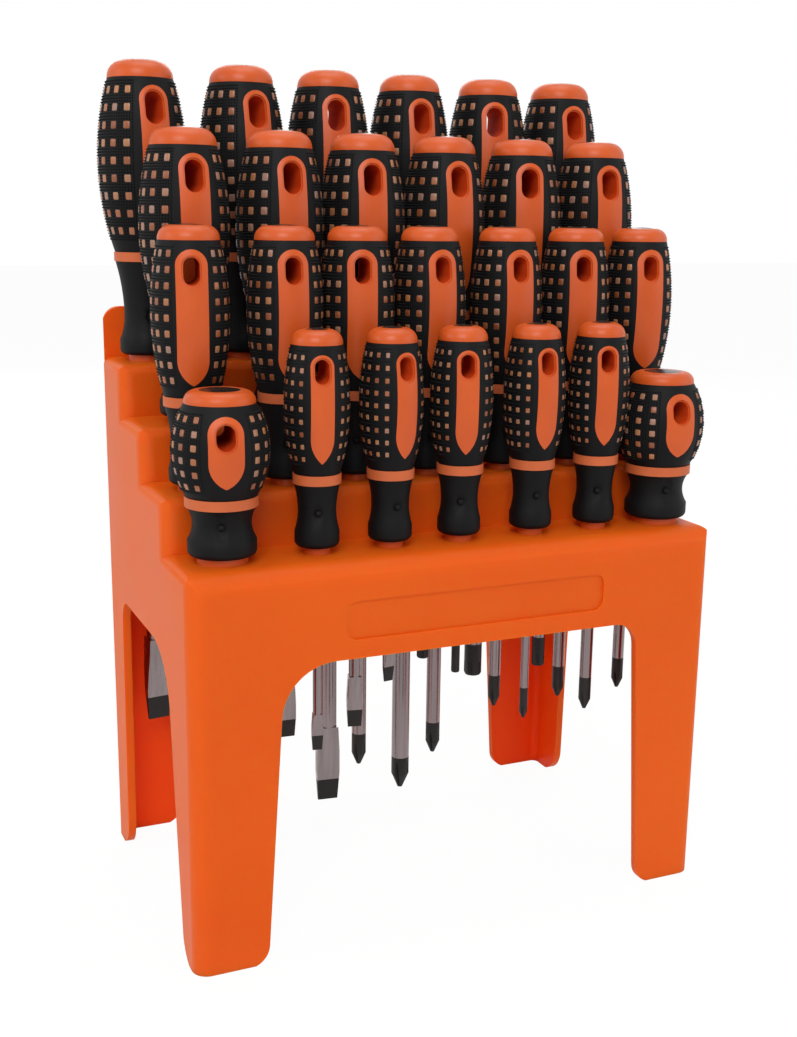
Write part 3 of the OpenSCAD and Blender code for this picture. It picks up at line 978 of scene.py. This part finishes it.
def bead_tree(barrel: bpy.types.NodeTree) -> bpy.types.NodeTree:
    """Builds the tree that sets rows of fine beads between the windows.

    Args:
        barrel: The group that puts points on a barrel.

    Returns:
        The tree.
    """
    pattern = PatternTree("grip_beads", barrel)
    graph, source = pattern.graph, pattern.source
    across, up = source["Beads Across"], source["Beads Up"]
    margin_across = graph.math("FLOOR", graph.math("DIVIDE", across, 2.0))
    margin_up = graph.math("FLOOR", graph.math("DIVIDE", up, 2.0))

    def count(
        cells: bpy.types.NodeSocket,
        steps: bpy.types.NodeSocket,
        margin: bpy.types.NodeSocket,
    ) -> bpy.types.NodeSocket:
        """Returns how many beads stand on a line over that many windows."""
        inner = graph.math("MULTIPLY", graph.math("SUBTRACT", cells, 1.0), steps)
        return graph.math("ADD", graph.math("MULTIPLY_ADD", margin, 2.0, inner), 1.0)

    points, column, row = pattern.points(
        count(source["Columns"], across, margin_across),
        count(source["Rows"], up, margin_up),
    )
    cell_x = graph.math("DIVIDE", graph.math("SUBTRACT", column, margin_across), across)
    cell_y = graph.math("DIVIDE", graph.math("SUBTRACT", row, margin_up), up)
    angle = graph.math(
        "MULTIPLY_ADD", cell_x, source["Column Step"], source["First Angle"]
    )
    height = graph.math("MULTIPLY_ADD", cell_y, source["Pitch"], source["Lowest"])
    barrel_node = pattern.on_barrel(angle, height)

    def near_window(
        cell: bpy.types.NodeSocket,
        step: bpy.types.NodeSocket,
        size: bpy.types.NodeSocket,
    ) -> bpy.types.NodeSocket:
        """Finds the beads that lie within a window's reach on one axis.

        Args:
            cell: The bead's place, counted in windows.
            step: Distance between two windows.
            size: The window's size.

        Returns:
            1 for such a bead, or 0.
        """
        away = graph.math(
            "ABSOLUTE", graph.math("SUBTRACT", cell, graph.math("ROUND", cell))
        )
        reach = graph.math(
            "ADD", graph.math("MULTIPLY", size, 0.5), source["Bead Radius"]
        )
        return graph.math("LESS_THAN", graph.math("MULTIPLY", away, step), reach)

    step_x = graph.math("MULTIPLY", source["Column Step"], source["Barrel Radius"])
    covered = graph.math(
        "MULTIPLY",
        near_window(cell_x, step_x, source["Window Width"]),
        near_window(cell_y, source["Pitch"], source["Window Height"]),
    )
    placed = graph.add(
        "GeometryNodeSetPosition",
        {"Geometry": points, "Position": barrel_node.outputs["Position"]},
    )
    bead = graph.add(
        "GeometryNodeMeshCone",
        {
            "Vertices": BEAD_SIDES,
            "Radius Top": 0.0,
            "Radius Bottom": source["Bead Radius"],
            "Depth": graph.math("MULTIPLY", source["Bead Radius"], BEAD_HEIGHT_SHARE),
        },
    )
    beads = graph.add(
        "GeometryNodeInstanceOnPoints",
        {
            "Points": placed.outputs[0],
            "Selection": graph.math("SUBTRACT", 1.0, covered),
            "Instance": bead.outputs[0],
            "Rotation": barrel_node.outputs["Rotation"],
        },
    )
    return pattern.finish(beads.outputs[0], GRIP_RUBBER)


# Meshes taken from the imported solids


def merged_mesh(node: str) -> bmesh.types.BMesh:
    """Copies a CAD node's mesh and joins its loose triangles.

    Args:
        node: The node's name.

    Returns:
        The joined copy.
    """
    mesh = bmesh.new()
    mesh.from_mesh(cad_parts[node].data)
    bmesh.ops.remove_doubles(mesh, verts=mesh.verts, dist=WELD_REACH)
    return mesh


def new_piece(
    name: str, mesh: bmesh.types.BMesh, materials: Iterable[bpy.types.Material]
) -> bpy.types.Object:
    """Makes an object of a finished mesh.

    Args:
        name: The piece's name.
        mesh: Its mesh, which is freed.
        materials: Its materials, in the order of its faces' numbers.

    Returns:
        The object, linked to the scene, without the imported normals, which no longer fit.
    """
    data = bpy.data.meshes.new(name)
    mesh.to_mesh(data)
    mesh.free()
    packed_normals = data.attributes.get("custom_normal")
    if packed_normals is not None:
        data.attributes.remove(packed_normals)
    for material in materials:
        data.materials.append(material)
    piece = bpy.data.objects.new(name, data)
    bpy.context.scene.collection.objects.link(piece)
    return piece


def smooth(piece: bpy.types.Object) -> None:
    """Shades a piece smooth, with its edges kept sharp."""
    piece.data.shade_smooth()
    piece.data.set_sharp_from_angle(angle=SHARP_ANGLE)


def tidy_slots(mesh: bpy.types.Mesh) -> None:
    """Keeps one slot for each material that a mesh's faces use.

    Args:
        mesh: The mesh.
    """
    used = [mesh.materials[face.material_index] for face in mesh.polygons]
    kept = list(dict.fromkeys(used))
    mesh.materials.clear()
    for material in kept:
        mesh.materials.append(material)
    mesh.polygons.foreach_set("material_index", [kept.index(m) for m in used])


def with_pattern(
    piece: bpy.types.Object,
    tree: bpy.types.NodeTree,
    kind: HandleKind,
    turn: float,
    place: Vector,
    seed: int,
) -> None:
    """Runs a pattern tree on a piece and keeps the result as a plain mesh.

    Args:
        piece: The piece.
        tree: The pattern's tree.
        kind: The kind of handle.
        turn: The handle's turn in degrees.
        place: The middle of the handle's nose, in metres.
        seed: Seed of the windows' tones.
    """
    arc_radius, arc_height = kind.barrel_arc()
    values = {
        "Columns": COLUMNS,
        "Rows": kind.rows,
        "First Angle": FIRST_COLUMN,
        "Column Step": COLUMN_STEP,
        "Lowest": kind.low_z * MM,
        "Pitch": kind.pitch * MM,
        "Barrel Radius": kind.widest / 2 * MM,
        "Arc Radius": arc_radius * MM,
        "Arc Height": arc_height * MM,
        "Window Width": kind.window_width * MM,
        "Window Height": kind.window_height * MM,
        "Turn": math.radians(turn),
        "Place": tuple(place),
        "Beads Across": BEADS_ACROSS,
        "Beads Up": kind.beads_up,
        "Bead Radius": BEAD_SHARE * kind.widest / 2 * MM,
        "Seed": seed,
    }
    modifier = piece.modifiers.new("pattern", "NODES")
    modifier.node_group = tree
    for item in tree.interface.items_tree:
        if item.in_out == "INPUT" and item.name in values:
            modifier[item.identifier] = values[item.name]
    piece.update_tag()
    graph = bpy.context.evaluated_depsgraph_get()
    plain = bpy.data.meshes.new_from_object(
        piece.evaluated_get(graph), preserve_all_data_layers=True, depsgraph=graph
    )
    old = piece.data
    piece.modifiers.remove(modifier)
    piece.data = plain
    bpy.data.meshes.remove(old)
    plain.name = piece.name
    tidy_slots(plain)


def carry(piece: bpy.types.Object, slot: str, *nodes: str) -> None:
    """Sets a piece on the body, hides the CAD nodes that it stands for and logs its triangles.

    Args:
        piece: The piece.
        slot: Not used.
        *nodes: The CAD nodes.
    """
    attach(piece, BODY)
    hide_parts(*nodes)
    triangles = sum(len(face.vertices) - 2 for face in piece.data.polygons)
    LOG.info("%s: %d triangles", piece.name, triangles)


# Sub-assemblies


@dataclass
class Stand:
    """The moulded stand.

    Attributes:
        node: The CAD node that it stands for.
        wall: Depth inside the stand's box past which a face is an inner one, in millimetres.
        inside_top: Height below which the inner walls get a painted glow, in millimetres.
    """

    node: str = "stand"
    wall: float = 3.1
    inside_top: float = 143.5

    INNER_FACES = 1

    def build(self) -> None:
        """Makes the stand's shell, whose inner walls get a painted glow: a brighter, redder
        orange that stands in for the light that passes them.
        """
        mesh = merged_mesh(self.node)
        low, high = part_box(self.node)
        wall = self.wall * MM
        # Faces inside the walls and below inside_top get the painted glow.
        for face in mesh.faces:
            middle = face.calc_center_median()
            within = all(low[a] + wall < middle[a] < high[a] - wall for a in (0, 1))
            if within and middle.z < self.inside_top * MM:
                face.material_index = self.INNER_FACES
        shell = new_piece("stand_shell", mesh, [STAND_PLASTIC, PAINTED_GLOW_PLASTIC])
        smooth(shell)
        flat_faces_lead = shell.modifiers.new("flat_faces_lead", "WEIGHTED_NORMAL")
        flat_faces_lead.keep_sharp = True
        carry(shell, "stand_plastic", self.node)


@dataclass
class Row:
    """One row of screwdrivers.

    Attributes:
        name: The row's name.
        drivers: Its screwdrivers from left to right.
        windows: The tree of the windows.
        beads: The tree of the beads.
        seed: Seed of the first handle's window tones, less one.
        slack: Play round a handle's widest diameter and its ring, in millimetres.
        hole_reach: Reach of the hanging hole's faces, as a share of the widest radius.
    """

    name: str
    drivers: tuple[Screwdriver, ...]
    windows: bpy.types.NodeTree
    beads: bpy.types.NodeTree
    seed: int
    slack: float = 0.05
    hole_reach: float = 0.55

    RING_FACES = 1
    HOLE_FACES = 2
    TIP_FACES = 1

    def place(self, number: int) -> Vector:
        """Returns the middle of a handle's nose, in metres."""
        low, high = (Vector(corner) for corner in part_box(f"{self.name}_handle_{number}"))
        return Vector(((low.x + high.x) / 2, (low.y + high.y) / 2, low.z))

    def near(
        self, mesh: bmesh.types.BMesh, place: Vector, kind: HandleKind
    ) -> bmesh.types.BMesh:
        """Keeps what lies round one handle's axis.

        Args:
            mesh: The mesh of many handles' pieces.
            place: The handle's place.
            kind: Its kind.

        Returns:
            A copy with this handle's pieces alone.
        """
        part = mesh.copy()
        reach = (kind.widest / 2 + self.slack) * MM
        floor = place.z - MM
        far = []
        for face in part.faces:
            middle = face.calc_center_median()
            apart = (middle.xy - place.xy).length
            if apart > reach or middle.z < floor:
                far.append(face)
        bmesh.ops.delete(part, geom=far, context="FACES")
        return part

    def handle(self, number: int, driver: Screwdriver, place: Vector) -> None:
        """Makes one hard handle with its ring, its hanging hole and its windows.

        Args:
            number: The handle's number in the row.
            driver: Its screwdriver.
            place: The handle's place.
        """
        node = f"{self.name}_handle_{number}"
        mesh = merged_mesh(node)
        kind = driver.kind
        low = place.z + (kind.ring_z - self.slack) * MM
        high = place.z + (kind.ring_top + self.slack) * MM
        cap = place.z + kind.cap_z * MM
        hole_reach = self.hole_reach * kind.widest / 2 * MM
        # Ring faces get the dull ring plastic; the hanging hole's faces get painted shade, a
        # deeper red than the handle.
        for face in mesh.faces:
            middle = face.calc_center_median()
            if all(low < vert.co.z < high for vert in face.verts):
                face.material_index = self.RING_FACES
            elif high < middle.z < cap and (middle.xy - place.xy).length < hole_reach:
                face.material_index = self.HOLE_FACES
        finishes = [HANDLE_PLASTIC, RING_PLASTIC, HOLE_PAINTED_SHADE_PLASTIC]
        piece = new_piece(f"{node}_moulding", mesh, finishes)
        with_pattern(piece, self.windows, kind, driver.turn, place, self.seed + number)
        smooth(piece)
        carry(piece, "handle_plastic", node)

    def grip(
        self,
        number: int,
        driver: Screwdriver,
        place: Vector,
        rubber: bmesh.types.BMesh,
    ) -> None:
        """Makes one handle's rubber with its beads.

        Args:
            number: The handle's number in the row.
            driver: Its screwdriver.
            place: The handle's place.
            rubber: The mesh of the row's rubber.
        """
        mesh = self.near(rubber, place, driver.kind)
        piece = new_piece(f"{self.name}_grip_{number}", mesh, [GRIP_RUBBER])
        with_pattern(piece, self.beads, driver.kind, driver.turn, place, 0)
        smooth(piece)
        carry(piece, "grip_rubber", f"{self.name}_rubber_grips")

    def blade(self, number: int, driver: Screwdriver) -> None:
        """Makes one blade with its blackened tip.

        Args:
            number: The blade's number in the row.
            driver: Its screwdriver.
        """
        node = f"{self.name}_blade_{number}"
        mesh = merged_mesh(node)
        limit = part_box(node)[0][2] + driver.tip.blackened(driver.shaft) * MM
        bmesh.ops.bisect_plane(
            mesh,
            geom=list(mesh.verts) + list(mesh.edges) + list(mesh.faces),
            plane_co=(0.0, 0.0, limit),
            plane_no=(0.0, 0.0, 1.0),
        )
        for face in mesh.faces:
            if face.calc_center_median().z < limit:
                face.material_index = self.TIP_FACES
        piece = new_piece(f"{node}_steel", mesh, [BLADE_STEEL_PAINTED_REFLECTION, TIP_BLACK])
        smooth(piece)
        carry(piece, "blade_steel", node)

    def disc(
        self,
        number: int,
        driver: Screwdriver,
        place: Vector,
        discs: bmesh.types.BMesh,
    ) -> None:
        """Makes one cap's end disc.

        Args:
            number: The handle's number in the row.
            driver: Its screwdriver.
            place: The handle's place.
            discs: The mesh of all end discs.
        """
        mesh = self.near(discs, place, driver.kind)
        piece = new_piece(f"{self.name}_disc_{number}", mesh, [DISC_PLASTIC])
        smooth(piece)
        carry(piece, "disc_plastic", "end_discs")

    def build(self, discs: bmesh.types.BMesh) -> None:
        """Makes the row's screwdrivers.

        Args:
            discs: The mesh of all end discs.
        """
        rubber = merged_mesh(f"{self.name}_rubber_grips")
        for number, driver in enumerate(self.drivers, start=1):
            place = self.place(number)
            self.handle(number, driver, place)
            self.grip(number, driver, place, rubber)
            self.blade(number, driver)
            self.disc(number, driver, place, discs)
        rubber.free()


@dataclass(frozen=True)
class SoftBox:
    """A square lamp.

    Attributes:
        name: The lamp's name.
        place: Where it hangs, in metres.
        size: Its side in metres.
        power: Its power in watts.
    """

    name: str
    place: tuple[float, float, float]
    size: float
    power: float

    def build(self, aim: Vector) -> None:
        """Hangs the lamp so that it faces a point.

        Args:
            aim: The point.
        """
        lamp = bpy.data.lights.new(self.name, "AREA")
        lamp.size = self.size
        lamp.energy = self.power
        holder = bpy.data.objects.new(self.name, lamp)
        holder.location = self.place
        holder.rotation_euler = (
            (aim - Vector(self.place)).to_track_quat("-Z", "Y").to_euler()
        )
        bpy.context.scene.collection.objects.link(holder)


LAMPS: tuple[SoftBox, ...] = (
    SoftBox("key_lamp", (-0.7, -1.3, 1.25), 0.9, 16.0),
    SoftBox("fill_lamp", (1.3, -1.0, 0.7), 1.1, 4.0),
    SoftBox("top_lamp", (0.1, 0.0, 1.6), 1.0, 7.5),
    SoftBox("side_lamp", (-1.6, 0.1, 0.8), 0.8, 5.0),
    SoftBox("back_lamp", (0.5, 1.5, 0.7), 1.0, 8.0),
)
LAMP_AIM = Vector((0.0, 0.0, 0.17))
WHITE: Colour = (1.0, 1.0, 1.0, 1.0)


@dataclass
class Studio:
    """Floor, lamps, background and camera.

    Attributes:
        floor_size: Side of the floor in metres.
        floor_colour: Colour that the floor throws back.
        floor_shown: Share of the floor that shows plain white.
        floor_white: Strength of that white, which levels the floor with the background.
        ambient: Strength of the light from all round.
        focal_pixels: The camera's focal length in pixels of the photograph.
        sensor: Height of the camera's sensor in millimetres.
        nearest: Nearest distance that the camera sees, in metres.
        farthest: Farthest distance that it sees, in metres.
        place: The camera's place in millimetres.
        yaw: Its turn to the right, in degrees.
        pitch: Its tilt downwards, in degrees.
        roll: Its roll, in degrees.
    """

    floor_size: float = 12.0
    floor_colour: Colour = (0.95, 0.95, 0.95, 1.0)
    floor_shown: float = 0.95
    floor_white: float = 1.012
    ambient: float = 0.28
    focal_pixels: float = 1328.5
    sensor: float = 36.0
    nearest: float = 0.01
    farthest: float = 50.0
    place: tuple[float, float, float] = (-212.46, -475.71, 264.44)
    yaw: float = 23.862
    pitch: float = 12.975
    roll: float = -0.748

    def background_share(self, graph: Graph) -> bpy.types.NodeSocket:
        """Returns 1 for the rays that see the background as plain white."""
        path = graph.add("ShaderNodeLightPath").outputs
        seen = graph.math("MAXIMUM", path["Is Camera Ray"], path["Is Glossy Ray"])
        return graph.math("MAXIMUM", seen, path["Is Transmission Ray"])

    def floor(self) -> None:
        """Lays the pale floor."""
        mesh = bmesh.new()
        bmesh.ops.create_grid(mesh, x_segments=1, y_segments=1, size=self.floor_size / 2)
        material = bpy.data.materials.new("pale_floor")
        material.use_nodes = True
        material.node_tree.nodes.clear()
        graph = Graph(material.node_tree)
        diffuse = graph.add("ShaderNodeBsdfDiffuse", {"Color": self.floor_colour})
        white = graph.add("ShaderNodeEmission", {"Strength": self.floor_white})
        share = graph.math("MULTIPLY", self.background_share(graph), self.floor_shown)
        mixed = graph.add(
            "ShaderNodeMixShader", {0: share, 1: diffuse.outputs[0], 2: white.outputs[0]}
        )
        output = graph.add("ShaderNodeOutputMaterial")
        graph.link(mixed.outputs[0], output.inputs["Surface"])
        floor = new_piece("floor", mesh, [material])

    def world(self) -> None:
        """Surrounds the scene with soft white light."""
        world = bpy.data.worlds.new("studio")
        bpy.context.scene.world = world
        world.use_nodes = True
        world.node_tree.nodes.clear()
        graph = Graph(world.node_tree)
        lit = {"Color": WHITE, "Strength": self.ambient}
        around = graph.add("ShaderNodeBackground", lit)
        shown = graph.add("ShaderNodeBackground", {"Color": WHITE, "Strength": 1.0})
        mixed = graph.add(
            "ShaderNodeMixShader",
            {
                0: self.background_share(graph),
                1: around.outputs[0],
                2: shown.outputs[0],
            },
        )
        output = graph.add("ShaderNodeOutputWorld")
        graph.link(mixed.outputs[0], output.inputs["Surface"])

    def camera(self) -> None:
        """Places the camera as the photograph's was."""
        turns = (self.yaw, self.pitch, self.roll)
        yaw, pitch, roll = (math.radians(turn) for turn in turns)
        forward = Vector(
            (
                math.sin(yaw) * math.cos(pitch),
                math.cos(yaw) * math.cos(pitch),
                -math.sin(pitch),
            )
        )
        level = Vector((math.cos(yaw), -math.sin(yaw), 0.0))
        down = forward.cross(level)
        right = math.cos(roll) * level + math.sin(roll) * down
        up = math.sin(roll) * level - math.cos(roll) * down
        turned = Matrix((right, up, -forward)).transposed().to_4x4()
        lens = bpy.data.cameras.new("photo_camera")
        lens.sensor_fit = "VERTICAL"
        lens.sensor_height = self.sensor
        lens.lens = self.focal_pixels / PHOTO_HEIGHT * self.sensor
        lens.clip_start = self.nearest
        lens.clip_end = self.farthest
        camera = bpy.data.objects.new("photo_camera", lens)
        camera.matrix_world = Matrix.Translation(Vector(self.place) * MM) @ turned
        bpy.context.scene.collection.objects.link(camera)
        bpy.context.scene.camera = camera

    def build(self) -> None:
        """Sets the studio up."""
        self.floor()
        self.world()
        self.camera()
        for lamp in LAMPS:
            lamp.build(LAMP_AIM)
        bpy.context.scene.view_settings.view_transform = "Standard"


def main() -> None:
    """Builds the studio and every piece."""
    logging.basicConfig(level=logging.INFO, format="%(name)s: %(message)s")
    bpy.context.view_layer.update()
    Studio().build()
    Stand().build()
    barrel = barrel_point_group()
    windows = window_tree(barrel)
    beads = bead_tree(barrel)
    discs = merged_mesh("end_discs")
    for number, (name, drivers) in enumerate(ROWS.items(), start=1):
        Row(name, drivers, windows, beads, SEED_STEP * number).build(discs)
    discs.free()


if __name__ == "__main__":
    main()
